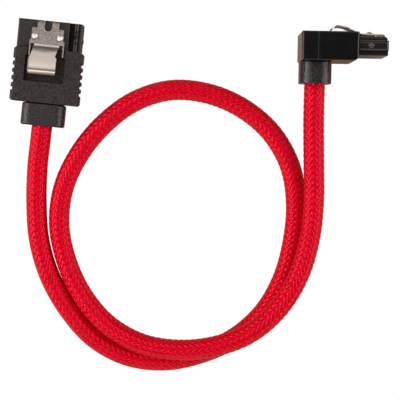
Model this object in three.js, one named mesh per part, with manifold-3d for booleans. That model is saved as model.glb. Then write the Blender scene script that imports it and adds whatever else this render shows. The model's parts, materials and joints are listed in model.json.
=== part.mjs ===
// A drive data cable in millimetres, +Z up: a round braided cord with a straight latching connector
// at one end and a right-angle one at the other, lying on a table. The straight connector lies flat
// with its latch up, and the right-angle one stands on its narrow side.
//
// Each connector is built in a frame of its own: +Y is the way it mates, with y = 0 at the mating
// face, +Z is its latch side, with z = 0 at the shell's plain face, and x = 0 is its middle.
import * as THREE from "three";
import { mergeVertices } from "three/addons/utils/BufferGeometryUtils.js";
import Module from "manifold-3d";

// Mating nose, the same moulding on both ends
const noseWidth = 13.6;
const noseThickness = 3.9;
const noseLength = 5.9;
const noseCorner = 0.35; // round of the nose's long edges
const leadInLength = 0.35; // slope along the latch side of the front edge
const leadInDrop = 0.4;
const railWidth = 1.6; // guide rail along the right end
const railHeight = 2.1;
const railRound = 0.6;
const railFrontRound = 0.6; // its front corner seen from above
const detentAt = 3.6; // small friction bump on the rail's side, behind the mating face
const detentLength = 1.3;
const detentHeight = 0.14;
const detentWidth = 1;
const grooveWidth = 1.2; // between the rail and the nose's flat top
const grooveDepth = 1.1;

// L-shaped slot, with the contacts in its floor; it shares its centre line with the latch
const keyOffset = -0.44; // that centre line, left of the connector's middle
const slotWidth = 10.5;
const slotHeight = 1.3;
const slotDepth = 5.2;
const slotDrop = 0.2; // slot's middle below the nose's middle
const slotLegWidth = 1.3;
const slotLegReach = 0.75;
const contactCount = 7;
const contactPitch = 1.27;
const contactWidth = 0.6;
const contactSheet = 0.2;
const contactFront = 0.8; // contact's tip behind the mating face
const contactCrest = 0.3; // how far its bow stands above the slot's floor
const contactBowLength = 3.4;
const contactEase = 0.6; // how gently its bow begins and ends
const channelDepth = 0.46;
const channelSide = 0.1; // clearance on each side of a contact

// Shells and the tunnel through them
const shellWidth = 14.4;
const shellThickness = 5.9;
const shellStep = 0.8; // from the shell's latch face down to the nose
const shellSeam = 0.1; // between the nose and the shell's front face
const tunnelWidth = 10.4;
const tunnelHeight = 2.2;
const tunnelFloor = 1.3; // wall under the tunnel
const tailLength = 3.7; // the housing's tail inside the tunnel
const fitClearance = 0.15; // all round what sits in the tunnel
const blockGap = 0.3; // between the tail and the moulded block

// Window under the press tab, and the channel that leads to it
const windowFront = 7.5; // behind the mating face
const windowRear = 12.9;
const windowWidth = 8.4;
const windowDepth = 1.9;
const windowCorner = 0.3;
const channelWidth = 7.9;
const latchChannelDepth = 1.4;
const rampWidth = 9.3; // the channel's walls run forward over the nose and slope down
const rampLength = 0.7;
const rampLip = 0.15;

// Straight shell
const gripLength = 11.25;
const gripEdge = 0.75; // round of its long edges
const gripCorner = 0.4; // round of its corners seen from above
const serrationCount = 5;
const serrationPitch = 1.5;
const serrationWidth = 0.85;
const serrationDepth = 0.45;
const serrationFront = 8.67; // middle of the first notch, behind the mating face

// Boots, where the cord leaves; each has a socket that the cord's end sits in
const bootWidth = 9.1;
const neckWidth = 7.9; // strain relief where it passes the shell's wall
const rearWall = 0.6; // shell's wall behind the moulded block
const socketClearance = 0.25;
const socketDepth = 1.5;
const straightBootThickness = 5.6;
const straightBootLength = 4.8;
const straightBootRound = 1.9;
const straightBootBevel = 0.4;
const angleBootThickness = 6.55;
const angleBootLength = 4.6;
const angleBootRound = 2.6;
const angleBootBevel = 0.12;
const socketSides = 24;

// Right-angle body
const angleBodyLength = 11.8;
const angleBodyEdge = 0.3; // round of its long edges
const angleBodyEnd = 0.5; // round of its front and rear edges
const angleBodyTop = 0.3; // the same on its latch side
const angleChamferLength = 0.85; // slope at the front of its plain face
const angleChamferHeight = 0.65;
const angleSeam = 8.2; // from the body's front face to the seam
const seamGap = 0.1;
const cordSetback = 14.45; // cord's axis behind the mating face
const neckThickness = 5; // strain relief where it passes the body's plain face

// Spring-steel latch; distances run back from the mating face, heights from the nose's flat top
const sheet = 0.25;
const fingerTip = 0.3; // the fingers hook down into pockets in the nose
const fingerTipHeight = -0.3;
const pocketLength = 0.6;
const pocketDepth = 0.5;
const pocketSide = 0.12; // clearance beside a finger
const plateStart = 0.95;
const plateHeight = 0.545; // middle of the sheet
const foldStart = 5; // the sheet bends up steeply, then eases into the tab
const foldEnd = 6.15;
const foldEndHeight = 1.12;
const foldEase = 0.55;
const tabBend = 8.3; // the tab is straight up to here
const tabBendHeight = 2.03;
const tabCrest = 9.9;
const tabCrestHeight = 2.3;
const tabEnd = 11.2;
const tabEndHeight = 1.55;
const tabCurlEase = 0.35; // how tightly the tab's end curls down
const fingerInner = 0.75; // half widths from the latch's own centre line
const fingerOuter = 2.25;
const fingerNotchEnd = 2.3;
const shoulderFront = 1.7;
const shoulderHalf = 3.35;
const shoulderRound = 0.3;
const wingFront = 4.2;
const wingRear = 5;
const wingHalf = 3.65;
const legInner = 3.35;
const legRear = 7.45;
const tabSlit = 5.3; // where the slits between tab and legs begin
const tabRootHalf = 2.62;
const tabShift = -0.5; // the press tab sits a little to the left of the plate
const tabNeck = 7.5;
const tabNeckHalf = 2.55;
const tabPadFront = 7.85;
const tabPadHalf = 2.9;
const tabCorner = 0.35;
const dimpleSpacing = 5.3;
const dimpleAt = 3.45;
const dimpleWidth = 1.2;
const dimpleLength = 1.4;
const dimpleHeight = 0.4;
const dimpleLean = 0.25; // its top lies this far behind its middle

// Low domes, such as the latch's dimples
const domeFlat = 0.7; // the larger, the flatter the top
const domeSides = 16;

// Braided cord
const cordDiameter = 4.4;
const cordSides = 12;
const cordSteps = 78;

// Where the connectors lie: the middle of each mating face, and the turn seen from above
const straightPlace = [-30.2, 10.79];
const straightTurn = -5.8;
const anglePlace = [38.97, 1.95];
const angleTurn = -1;

// The cord's middle from the straight boot's socket to the right-angle boot's. It lies on the table
// for one whole loop, then passes over itself and rises to the second connector.
const cordRoute = [
  [-32.38, -10.05, 2.95],
  [-32.5, -11.25, 2.95],
  [-32.88, -14.4, 2.87],
  [-33.49, -19.2, 2.48],
  [-33.79, -27.2, 2.25],
  [-33.23, -35.21, 2.25],
  [-30.96, -42.9, 2.25],
  [-27.06, -49.8, 2.25],
  [-21.72, -55.8, 2.25],
  [-14.63, -59.62, 2.25],
  [-6.66, -60.61, 2.25],
  [1.14, -59, 2.25],
  [8.45, -55.55, 2.25],
  [14.31, -50.14, 2.25],
  [18.24, -43.1, 2.25],
  [20.3, -35.4, 2.25],
  [20.98, -27.4, 2.25],
  [19.74, -19.6, 2.25],
  [15.85, -12.61, 2.25],
  [9.77, -7.36, 2.25],
  [2.41, -4.22, 2.25],
  [-5.45, -3.51, 2.25],
  [-13.04, -5.85, 2.25],
  [-19.43, -10.54, 2.25],
  [-24.5, -16.6, 2.25],
  [-27.99, -23.82, 2.25],
  [-29, -31.7, 2.36],
  [-27.45, -39.47, 2.79],
  [-24.05, -46.63, 3.5],
  [-18.86, -52.6, 4.45],
  [-11.89, -56.51, 5.52],
  [-4.05, -57.82, 6.37],
  [3.84, -57, 6.83],
  [11.28, -54.11, 6.87],
  [17.33, -48.77, 6.57],
  [21.43, -41.98, 6.02],
  [23.7, -34.23, 5.52],
  [24.49, -26.3, 5.4],
  [24.44, -18.3, 5.65],
  [24.33, -10.3, 6.45],
  [24.36, -6.1, 6.95],
  [24.44, -2.4, 7.2],
  [24.46, -1.2, 7.2],
];

// Heights that follow from the sizes above, in a connector's own frame
const noseMiddle = shellThickness - shellStep - noseThickness / 2;
const noseTop = noseMiddle + noseThickness / 2;
const slotTop = noseMiddle - slotDrop + slotHeight / 2;
const slotFloor = slotTop - slotHeight;
const channelFloor = slotFloor - channelDepth;
const shellFront = noseLength + shellSeam;
const tailRear = noseLength + tailLength;
const blockFront = tailRear + blockGap;
const gripRear = noseLength + gripLength;
const straightBootEnd = gripRear + straightBootLength;
const bodyRear = noseLength + angleBodyLength;
const seamFront = noseLength + angleSeam;
const past = 1; // how far a cutter runs past what it cuts
const roundSteps = 6; // segments of each round corner
const bevelSteps = 3;

const wasm = await Module();
wasm.setup();

// A closed geometry as a solid that can be joined and cut.
function solidOf(geometry) {
  const bare = geometry.clone();
  bare.deleteAttribute("normal");
  bare.deleteAttribute("uv");
  const merged = mergeVertices(bare, 1e-4);
  return new wasm.Manifold(
    new wasm.Mesh({
      numProp: 3,
      vertProperties: merged.attributes.position.array,
      triVerts: new Uint32Array(merged.index.array),
    }),
  );
}

function geometryOf(solid) {
  const mesh = solid.getMesh();
  const geometry = new THREE.BufferGeometry();
  geometry.setAttribute("position", new THREE.BufferAttribute(mesh.vertProperties, 3));
  geometry.setIndex(new THREE.BufferAttribute(mesh.triVerts, 1));
  const flat = geometry.toNonIndexed();
  flat.computeVertexNormals();
  return flat;
}

// A box from its two opposite corners; rearwards distances are given as negative y.
function box(low, high) {
  const size = high.map((value, axis) => value - low[axis]);
  const middle = high.map((value, axis) => (value + low[axis]) / 2);
  return solidOf(new THREE.BoxGeometry(...size).translate(...middle));
}

// A cross-section drawn in x and z, run back along the connector from one distance to another.
function alongConnector(shape, from, to, bevel = 0) {
  const geometry = new THREE.ExtrudeGeometry(shape, {
    depth: to - from - 2 * bevel,
    bevelEnabled: bevel > 0,
    bevelSize: bevel,
    bevelThickness: bevel,
    bevelOffset: -bevel,
    bevelSegments: bevelSteps,
    curveSegments: roundSteps,
  });
  return solidOf(geometry.rotateX(Math.PI / 2).translate(0, -from - bevel, 0));
}

// An outline drawn in x and y, raised from one height to another.
function raised(shape, low, high, bevel = 0) {
  const geometry = new THREE.ExtrudeGeometry(shape, {
    depth: high - low - 2 * bevel,
    bevelEnabled: bevel > 0,
    bevelSize: bevel,
    bevelThickness: bevel,
    bevelOffset: -bevel,
    bevelSegments: bevelSteps,
    curveSegments: roundSteps,
  });
  return solidOf(geometry.translate(0, 0, low + bevel));
}

// A rectangle with round corners, by its middle and its full sizes.
function roundedRectangle(middleX, middleY, width, height, radius) {
  const left = middleX - width / 2;
  const right = middleX + width / 2;
  const low = middleY - height / 2;
  const high = middleY + height / 2;
  return new THREE.Shape()
    .moveTo(left + radius, low)
    .lineTo(right - radius, low)
    .absarc(right - radius, low + radius, radius, -Math.PI / 2, 0)
    .lineTo(right, high - radius)
    .absarc(right - radius, high - radius, radius, 0, Math.PI / 2)
    .lineTo(left + radius, high)
    .absarc(left + radius, high - radius, radius, Math.PI / 2, Math.PI)
    .lineTo(left, low + radius)
    .absarc(left + radius, low + radius, radius, Math.PI, 1.5 * Math.PI);
}

// Cross-section of the nose: a flat-topped block with a guide rail beyond a groove at its right end.
function noseSection() {
  const left = -noseWidth / 2;
  const right = noseWidth / 2;
  const low = noseMiddle - noseThickness / 2;
  const railLeft = right - railWidth;
  const railTop = noseMiddle + railHeight / 2;
  const railLow = noseMiddle - railHeight / 2;
  const grooveLeft = railLeft - grooveWidth;
  const grooveFloor = noseTop - grooveDepth;
  return new THREE.Shape()
    .moveTo(left + noseCorner, low)
    .lineTo(railLeft, low)
    .lineTo(railLeft, railLow)
    .lineTo(right - railRound, railLow)
    .absarc(right - railRound, railLow + railRound, railRound, -Math.PI / 2, 0)
    .lineTo(right, railTop - railRound)
    .absarc(right - railRound, railTop - railRound, railRound, 0, Math.PI / 2)
    .lineTo(railLeft, railTop)
    .lineTo(railLeft, grooveFloor)
    .lineTo(grooveLeft, grooveFloor)
    .lineTo(grooveLeft, noseTop - noseCorner)
    .absarc(grooveLeft - noseCorner, noseTop - noseCorner, noseCorner, 0, Math.PI / 2)
    .lineTo(left + noseCorner, noseTop)
    .absarc(left + noseCorner, noseTop - noseCorner, noseCorner, Math.PI / 2, Math.PI)
    .lineTo(left, low + noseCorner)
    .absarc(left + noseCorner, low + noseCorner, noseCorner, Math.PI, 1.5 * Math.PI);
}

// The slot seen from the front, with the leg of the L down at its left end.
function slotSection() {
  const left = keyOffset - slotWidth / 2;
  const right = keyOffset + slotWidth / 2;
  return new THREE.Shape()
    .moveTo(left, slotFloor - slotLegReach)
    .lineTo(left + slotLegWidth, slotFloor - slotLegReach)
    .lineTo(left + slotLegWidth, slotFloor)
    .lineTo(right, slotFloor)
    .lineTo(right, slotTop)
    .lineTo(left, slotTop);
}

// The slope that leads the nose into its mate, as a wedge to cut away.
function leadInCutter() {
  const wedge = new THREE.Shape()
    .moveTo(0, noseTop - leadInDrop)
    .lineTo(leadInLength, noseTop)
    .lineTo(leadInLength, noseTop + past)
    .lineTo(-past, noseTop + past)
    .lineTo(-past, noseTop - leadInDrop);
  return acrossConnector(wedge, -noseWidth, noseWidth);
}

// What rounds the rail's front corner, as a piece to cut away.
function railCornerCutter() {
  const right = noseWidth / 2;
  const corner = new THREE.Shape()
    .moveTo(right - railFrontRound, past)
    .lineTo(right - railFrontRound, 0)
    .absarc(right - railFrontRound, -railFrontRound, railFrontRound, Math.PI / 2, 0, true)
    .lineTo(right + past, -railFrontRound)
    .lineTo(right + past, past);
  return raised(corner, -past, noseTop + past);
}

// A side view drawn in distance behind the mating face and height, made as wide as given in x.
function acrossConnector(shape, left, right) {
  const geometry = new THREE.ExtrudeGeometry(shape, {
    depth: right - left,
    bevelEnabled: false,
    curveSegments: roundSteps,
  });
  const sideView = new THREE.Matrix4().makeBasis(
    new THREE.Vector3(0, -1, 0),
    new THREE.Vector3(0, 0, 1),
    new THREE.Vector3(-1, 0, 0),
  );
  return solidOf(geometry.applyMatrix4(sideView).translate(right, 0, 0));
}

// A low dome with its round base on z = 0, by its two full widths and its height.
function dome(widthX, widthY, height, root) {
  const profile = new THREE.Path()
    .moveTo(0, -root)
    .lineTo(1, -root)
    .lineTo(1, 0)
    .quadraticCurveTo(domeFlat, height, 0, height)
    .getPoints(4);
  return new THREE.LatheGeometry(profile, domeSides)
    .rotateX(Math.PI / 2)
    .scale(widthX / 2, widthY / 2, 1);
}

function detent() {
  const bump = dome(detentWidth, detentLength, detentHeight, railWidth / 2);
  return solidOf(bump.rotateY(Math.PI / 2).translate(noseWidth / 2, -detentAt, noseMiddle));
}

// The pocket that holds one finger of the latch.
function fingerPocket(side) {
  const edges = [side * (fingerInner - pocketSide), side * (fingerOuter + pocketSide)];
  return box(
    [keyOffset + Math.min(...edges), -pocketLength, noseTop - pocketDepth],
    [keyOffset + Math.max(...edges), past, noseTop + past],
  );
}

function contactPlaces() {
  const first = keyOffset + slotLegWidth / 2 - ((contactCount - 1) * contactPitch) / 2;
  return Array.from({ length: contactCount }, (_, index) => first + index * contactPitch);
}

function housing() {
  const tailLow = tunnelFloor + fitClearance;
  const tailHigh = tunnelFloor + tunnelHeight - fitClearance;
  const tailHalf = tunnelWidth / 2 - fitClearance;
  const channelHalf = contactWidth / 2 + channelSide;
  const tail = box([-tailHalf, -tailRear, tailLow], [tailHalf, -noseLength / 2, tailHigh]);
  const cutters = contactPlaces().map((x) =>
    box(
      [x - channelHalf, -tailRear - past, channelFloor],
      [x + channelHalf, -contactFront + channelSide, slotFloor],
    ),
  );
  return cutters.reduce(
    (body, cutter) => body.subtract(cutter),
    alongConnector(noseSection(), 0, noseLength)
      .add(tail)
      .add(detent())
      .subtract(leadInCutter())
      .subtract(railCornerCutter())
      .subtract(fingerPocket(-1))
      .subtract(fingerPocket(1))
      .subtract(alongConnector(slotSection(), -past, slotDepth)),
  );
}

// A strip of sheet of even thickness along a side-view line.
function sheetStrip(line, thickness) {
  const half = thickness / 2;
  const side = line.map((point, index) => {
    const before = line[Math.max(index - 1, 0)];
    const after = line[Math.min(index + 1, line.length - 1)];
    const into = point.clone().sub(before).normalize();
    const out = after.clone().sub(point).normalize();
    const along = into.add(out).normalize();
    const turn = index > 0 && index < line.length - 1 ? along.dot(out) : 1;
    return new THREE.Vector2(-along.y, along.x).multiplyScalar(half / turn);
  });
  const upper = line.map((point, index) => point.clone().add(side[index]));
  const lower = line.map((point, index) => point.clone().sub(side[index]));
  return new THREE.Shape([...upper, ...lower.reverse()]);
}

// One stamped contact: it lies in its channel, and bows up into the slot to press on its mate.
function contact(x) {
  const rest = channelFloor + channelDepth / 2;
  const crest = slotFloor + contactCrest - contactSheet / 2;
  const bowRear = contactFront + contactBowLength;
  const bowMiddle = contactFront + contactBowLength / 2;
  const line = new THREE.Path()
    .moveTo(contactFront, rest)
    .bezierCurveTo(contactFront + contactEase, rest, bowMiddle - contactEase, crest, bowMiddle, crest)
    .bezierCurveTo(bowMiddle + contactEase, crest, bowRear - contactEase, rest, bowRear, rest)
    .lineTo(tailRear - channelSide, rest);
  return acrossConnector(
    sheetStrip(line.getPoints(roundSteps), contactSheet),
    x - contactWidth / 2,
    x + contactWidth / 2,
  );
}

// Side view of the latch's sheet: hooked down at the front, flat over the nose, and up to the crest
// of the press tab, whose end curls down.
function latchLine() {
  const crest = noseTop + tabCrestHeight;
  const slope = (tabBendHeight - foldEndHeight) / (tabBend - foldEnd);
  return new THREE.Path()
    .moveTo(fingerTip, noseTop + fingerTipHeight)
    .lineTo(fingerTip, noseTop)
    .quadraticCurveTo(fingerTip, noseTop + plateHeight, plateStart, noseTop + plateHeight)
    .lineTo(foldStart, noseTop + plateHeight)
    .bezierCurveTo(
      foldStart + foldEase,
      noseTop + plateHeight,
      foldEnd - foldEase,
      noseTop + foldEndHeight - foldEase * slope,
      foldEnd,
      noseTop + foldEndHeight,
    )
    .lineTo(tabBend, noseTop + tabBendHeight)
    .quadraticCurveTo(tabBend + (tabCrestHeight - tabBendHeight) / slope, crest, tabCrest, crest)
    .quadraticCurveTo(tabEnd - tabCurlEase, crest, tabEnd, noseTop + tabEndHeight)
    .getPoints(8);
}

// Plan of the fingers, plate and press tab, about the latch's own centre line.
function latchPlan() {
  return new THREE.Shape()
    .moveTo(-fingerOuter, 0)
    .lineTo(-fingerOuter, -shoulderFront)
    .lineTo(-shoulderHalf + shoulderRound, -shoulderFront)
    .absarc(
      -shoulderHalf + shoulderRound, -shoulderFront - shoulderRound, shoulderRound,
      Math.PI / 2, Math.PI,
    )
    .lineTo(-shoulderHalf, -wingFront)
    .lineTo(-wingHalf, -wingFront)
    .lineTo(-wingHalf, -wingRear)
    .lineTo(-tabRootHalf, -wingRear)
    .lineTo(-tabRootHalf, -tabSlit)
    .lineTo(tabShift - tabNeckHalf, -tabNeck)
    .lineTo(tabShift - tabPadHalf, -tabPadFront)
    .lineTo(tabShift - tabPadHalf, -tabEnd + tabCorner)
    .lineTo(tabShift - tabPadHalf + tabCorner, -tabEnd - past)
    .lineTo(tabShift + tabPadHalf - tabCorner, -tabEnd - past)
    .lineTo(tabShift + tabPadHalf, -tabEnd + tabCorner)
    .lineTo(tabShift + tabPadHalf, -tabPadFront)
    .lineTo(tabShift + tabNeckHalf, -tabNeck)
    .lineTo(tabRootHalf, -tabSlit)
    .lineTo(tabRootHalf, -wingRear)
    .lineTo(wingHalf, -wingRear)
    .lineTo(wingHalf, -wingFront)
    .lineTo(shoulderHalf, -wingFront)
    .absarc(
      shoulderHalf - shoulderRound, -shoulderFront - shoulderRound, shoulderRound, 0, Math.PI / 2,
    )
    .lineTo(fingerOuter, -shoulderFront)
    .lineTo(fingerOuter, 0)
    .lineTo(fingerInner, 0)
    .lineTo(fingerInner, -fingerNotchEnd + fingerInner)
    .absarc(0, -fingerNotchEnd + fingerInner, fingerInner, 0, Math.PI, true)
    .lineTo(-fingerInner, 0);
}

// One of the two narrow legs beside the tab, which run back flat into the shell's channel.
function latchLeg(side) {
  const inner = side * legInner;
  const outer = side * wingHalf;
  const middle = noseTop + plateHeight;
  return box(
    [Math.min(inner, outer), -legRear, middle - sheet / 2],
    [Math.max(inner, outer), -wingFront, middle + sheet / 2],
  );
}

// A locking dimple: a low dome on the plate that rises gently and drops steeply behind.
function dimple(x) {
  const lean = new THREE.Matrix4().makeShear(0, 0, 0, 0, 0, -dimpleLean / dimpleHeight);
  const bump = dome(dimpleWidth, dimpleLength, dimpleHeight, sheet / 2).applyMatrix4(lean);
  return solidOf(bump.translate(x, -dimpleAt, noseTop + plateHeight + sheet / 2));
}

function latch() {
  const strip = acrossConnector(sheetStrip(latchLine(), sheet), -wingHalf - past, wingHalf + past);
  return strip
    .intersect(raised(latchPlan(), noseTop - leadInDrop - past, noseTop + tabCrestHeight + past))
    .add(latchLeg(-1))
    .add(latchLeg(1))
    .add(dimple(-dimpleSpacing / 2))
    .add(dimple(dimpleSpacing / 2))
    .translate([keyOffset, 0, 0]);
}

// The way for the tab and the legs in a shell's latch face: a deep window, open to the front
// through a shallower channel.
function latchRecess() {
  const windowMiddle = (windowFront + windowRear) / 2;
  const windowLength = windowRear - windowFront;
  const outline = roundedRectangle(
    keyOffset, -windowMiddle, windowWidth, windowLength, windowCorner,
  );
  const high = shellThickness + past;
  const channel = box(
    [keyOffset - channelWidth / 2, -windowFront - past, shellThickness - latchChannelDepth],
    [keyOffset + channelWidth / 2, -noseLength + past, high],
  );
  return raised(outline, shellThickness - windowDepth, high).add(channel);
}

// The front of the channel's walls: a ramp over the nose, which the channel then parts in two.
function channelRamp() {
  const low = noseTop + shellSeam;
  const ramp = new THREE.Shape()
    .moveTo(shellFront - rampLength, low)
    .lineTo(shellFront + past, low)
    .lineTo(shellFront + past, shellThickness)
    .lineTo(shellFront, shellThickness)
    .lineTo(shellFront - rampLength, low + rampLip);
  return acrossConnector(ramp, keyOffset - rampWidth / 2, keyOffset + rampWidth / 2);
}

// The tunnel that holds the housing's tail and the block moulded on the cord.
function tunnel(from, to) {
  return box(
    [-tunnelWidth / 2, -to, tunnelFloor],
    [tunnelWidth / 2, -from, tunnelFloor + tunnelHeight],
  );
}

// Plan of the grip, with a row of finger serrations down each side.
function gripPlan() {
  const half = shellWidth / 2;
  const down = (x) => [
    [x, -shellFront - gripCorner],
    ...Array.from({ length: serrationCount }, (_, index) => {
      const middle = -serrationFront - index * serrationPitch;
      const inner = x - Math.sign(x) * serrationDepth;
      const lip = serrationWidth / 2;
      return [
        [x, middle + lip],
        [inner, middle + lip - serrationDepth / 2],
        [inner, middle - lip + serrationDepth / 2],
        [x, middle - lip],
      ];
    }).flat(),
    [x, -gripRear + gripCorner],
    [x - Math.sign(x) * gripCorner, -gripRear],
  ];
  const right = down(half);
  const left = down(-half).reverse();
  const outline = [
    [-half + gripCorner, -shellFront],
    [half - gripCorner, -shellFront],
    ...right,
    ...left,
  ];
  return new THREE.Shape(outline.map(([x, y]) => new THREE.Vector2(x, y)));
}

function straightShell() {
  const section = roundedRectangle(0, shellThickness / 2, shellWidth, shellThickness, gripEdge);
  return alongConnector(section, shellFront, gripRear)
    .intersect(raised(gripPlan(), -past, shellThickness + past))
    .add(channelRamp())
    .subtract(latchRecess())
    .subtract(tunnel(shellFront - past, gripRear - rearWall))
    .subtract(straightNeck(gripRear - past, gripRear + past, fitClearance));
}

// The blind hole in a boot's end that the cord enters, along +Z from the origin inwards.
function cordSocket() {
  const radius = cordDiameter / 2 + socketClearance;
  const hole = new THREE.CylinderGeometry(radius, radius, socketDepth + past, socketSides);
  return hole.rotateX(Math.PI / 2).translate(0, 0, (socketDepth - past) / 2);
}

// The neck between block and boot, or with a clearance the way through the shell for it.
function straightNeck(from, to, clearance) {
  const half = neckWidth / 2 + clearance;
  const inset = fitClearance - clearance;
  return box(
    [-half, -to, tunnelFloor + inset],
    [half, -from, tunnelFloor + tunnelHeight - inset],
  );
}

function mouldedBlock(rear) {
  const half = tunnelWidth / 2 - fitClearance;
  return box(
    [-half, -rear, tunnelFloor + fitClearance],
    [half, -blockFront, tunnelFloor + tunnelHeight - fitClearance],
  );
}

function straightStrainRelief() {
  const middle = shellThickness / 2;
  const section = roundedRectangle(0, middle, bootWidth, straightBootThickness, straightBootRound);
  const socket = cordSocket().rotateX(-Math.PI / 2).translate(0, -straightBootEnd, middle);
  return mouldedBlock(gripRear - rearWall - fitClearance)
    .add(straightNeck(gripRear - past, straightBootEnd - straightBootLength / 2, 0))
    .add(alongConnector(section, gripRear + shellSeam, straightBootEnd, straightBootBevel))
    .subtract(solidOf(socket));
}

// Side view of the right-angle body, with a slope at the front of its plain face.
function angleBodySide() {
  const rear = bodyRear - angleBodyEnd;
  const front = shellFront + angleBodyTop;
  const high = shellThickness - angleBodyTop;
  return new THREE.Shape()
    .moveTo(shellFront + angleChamferLength, 0)
    .lineTo(rear, 0)
    .absarc(rear, angleBodyEnd, angleBodyEnd, -Math.PI / 2, 0)
    .lineTo(bodyRear, high)
    .absarc(bodyRear - angleBodyTop, high, angleBodyTop, 0, Math.PI / 2)
    .lineTo(front, shellThickness)
    .absarc(front, high, angleBodyTop, Math.PI / 2, Math.PI)
    .lineTo(shellFront, angleChamferHeight);
}

// The right-angle body as one block with soft edges, before it is parted at the seam.
function angleBody() {
  const middle = (shellFront + bodyRear) / 2;
  const section = roundedRectangle(
    0, shellThickness / 2, shellWidth, shellThickness, angleBodyEdge,
  );
  const plan = roundedRectangle(0, -middle, shellWidth, bodyRear - shellFront, angleBodyEnd);
  return alongConnector(section, shellFront, bodyRear)
    .intersect(raised(plan, -past, shellThickness + past))
    .intersect(acrossConnector(angleBodySide(), -shellWidth, shellWidth));
}

// The way through the body's plain face for the neck of the strain relief.
function neckPassage() {
  const halfWidth = neckWidth / 2 + fitClearance;
  const halfThickness = neckThickness / 2 + fitClearance;
  return box(
    [-halfWidth, -cordSetback - halfThickness, -past],
    [halfWidth, -cordSetback + halfThickness, tunnelFloor + tunnelHeight],
  );
}

function angleFrontShell() {
  return angleBody()
    .add(channelRamp())
    .subtract(latchRecess())
    .subtract(tunnel(noseLength - past, seamFront + past))
    .subtract(neckPassage())
    .subtract(box([-shellWidth, -bodyRear - past, -past], [shellWidth, -seamFront, shellThickness + past]));
}

function angleRearCap() {
  return angleBody()
    .subtract(tunnel(noseLength, bodyRear - rearWall))
    .subtract(neckPassage())
    .subtract(
      box([-shellWidth, -seamFront - seamGap, -past], [shellWidth, past, shellThickness + past]),
    );
}

function angleStrainRelief() {
  const bootTop = -shellSeam;
  const bootSection = roundedRectangle(
    0, -cordSetback, bootWidth, angleBootThickness, angleBootRound,
  );
  const neck = box(
    [-neckWidth / 2, -cordSetback - neckThickness / 2, -angleBootLength / 2],
    [neckWidth / 2, -cordSetback + neckThickness / 2, tunnelFloor + tunnelHeight - fitClearance],
  );
  return mouldedBlock(cordSetback + neckThickness / 2)
    .add(neck)
    .add(raised(bootSection, -angleBootLength, bootTop, angleBootBevel))
    .subtract(solidOf(cordSocket().translate(0, -cordSetback, -angleBootLength)));
}

function cord() {
  const points = cordRoute.map((point) => new THREE.Vector3(...point));
  const section = new THREE.Shape(
    Array.from({ length: cordSides }, (_, index) => {
      const angle = (index * 2 * Math.PI) / cordSides;
      return new THREE.Vector2(Math.cos(angle), Math.sin(angle)).multiplyScalar(cordDiameter / 2);
    }),
  );
  return solidOf(
    new THREE.ExtrudeGeometry(section, {
      steps: cordSteps,
      extrudePath: new THREE.CatmullRomCurve3(points),
      bevelEnabled: false,
    }),
  );
}

// Finishes
const hardPlastic = new THREE.MeshStandardMaterial({ color: 0x2a2625, roughness: 0.42 });
const gripPlastic = new THREE.MeshStandardMaterial({ color: 0x3e3736, roughness: 0.62 });
const bootPlastic = new THREE.MeshStandardMaterial({ color: 0x453c3b, roughness: 0.7 });
const springSteel = new THREE.MeshStandardMaterial({ color: 0xb9afa8, roughness: 0.35, metalness: 1 });
const contactBrass = new THREE.MeshStandardMaterial({ color: 0xc79a4a, roughness: 0.3, metalness: 1 });
const redBraid = new THREE.MeshStandardMaterial({ color: 0xc00a26, roughness: 0.7 });

function piece(name, solid, material) {
  const mesh = new THREE.Mesh(geometryOf(solid), material);
  mesh.name = name;
  return mesh;
}

// What both ends share: the housing, its contacts and the latch.
function matingEnd(prefix) {
  const contacts = contactPlaces().map((x, index) =>
    piece(`${prefix}_contact_${index + 1}`, contact(x), contactBrass),
  );
  return [
    piece(`${prefix}_housing`, housing(), hardPlastic),
    piece(`${prefix}_latch`, latch(), springSteel),
    ...contacts,
  ];
}

function straightConnector() {
  const connector = new THREE.Group();
  connector.add(
    ...matingEnd("straight"),
    piece("straight_shell", straightShell(), gripPlastic),
    piece("straight_strain_relief", straightStrainRelief(), bootPlastic),
  );
  connector.position.set(...straightPlace, 0);
  connector.rotation.z = THREE.MathUtils.degToRad(straightTurn);
  return connector;
}

// The right-angle connector stands on its left side: it mates to +X, with its latch towards +Y.
function angleConnector() {
  const connector = new THREE.Group();
  connector.add(
    ...matingEnd("angle"),
    piece("angle_front_shell", angleFrontShell(), hardPlastic),
    piece("angle_rear_cap", angleRearCap(), hardPlastic),
    piece("angle_strain_relief", angleStrainRelief(), bootPlastic),
  );
  const standing = new THREE.Matrix4().makeBasis(
    new THREE.Vector3(0, 0, 1),
    new THREE.Vector3(1, 0, 0),
    new THREE.Vector3(0, 1, 0),
  );
  connector.quaternion.setFromRotationMatrix(standing);
  connector.position.set(0, 0, shellWidth / 2);
  const placed = new THREE.Group().add(connector);
  placed.position.set(...anglePlace, 0);
  placed.rotation.z = THREE.MathUtils.degToRad(angleTurn);
  return placed;
}

// The whole cable stands on z = 0, with the middle of its two connectors over the origin.
function cable() {
  const connectors = [straightConnector(), angleConnector()];
  const bounds = new THREE.Box3();
  connectors.forEach((connector) => bounds.expandByObject(connector, true));
  const middle = bounds.getCenter(new THREE.Vector3());
  const whole = new THREE.Group();
  whole.add(...connectors, piece("braided_cord", cord(), redBraid));
  whole.position.set(-middle.x, -middle.y, -bounds.min.z);
  return new THREE.Group().add(whole);
}

export default cable();
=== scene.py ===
# %% [markdown]
# # A braided data cable with two latching plugs
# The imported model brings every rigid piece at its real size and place: two plug housings, their
# spring contacts and steel latches, the grip, the right-angle body and the moulded strain reliefs.
# This lesson dresses them. It lights them like a product picture on a light table, plaits the
# cord from its 24 yarns, and gives each moulded or folded piece smooth shading and its finish.

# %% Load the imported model
import json
import math

import bmesh
import bpy
import numpy as np
from mathutils import Matrix, Vector

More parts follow.
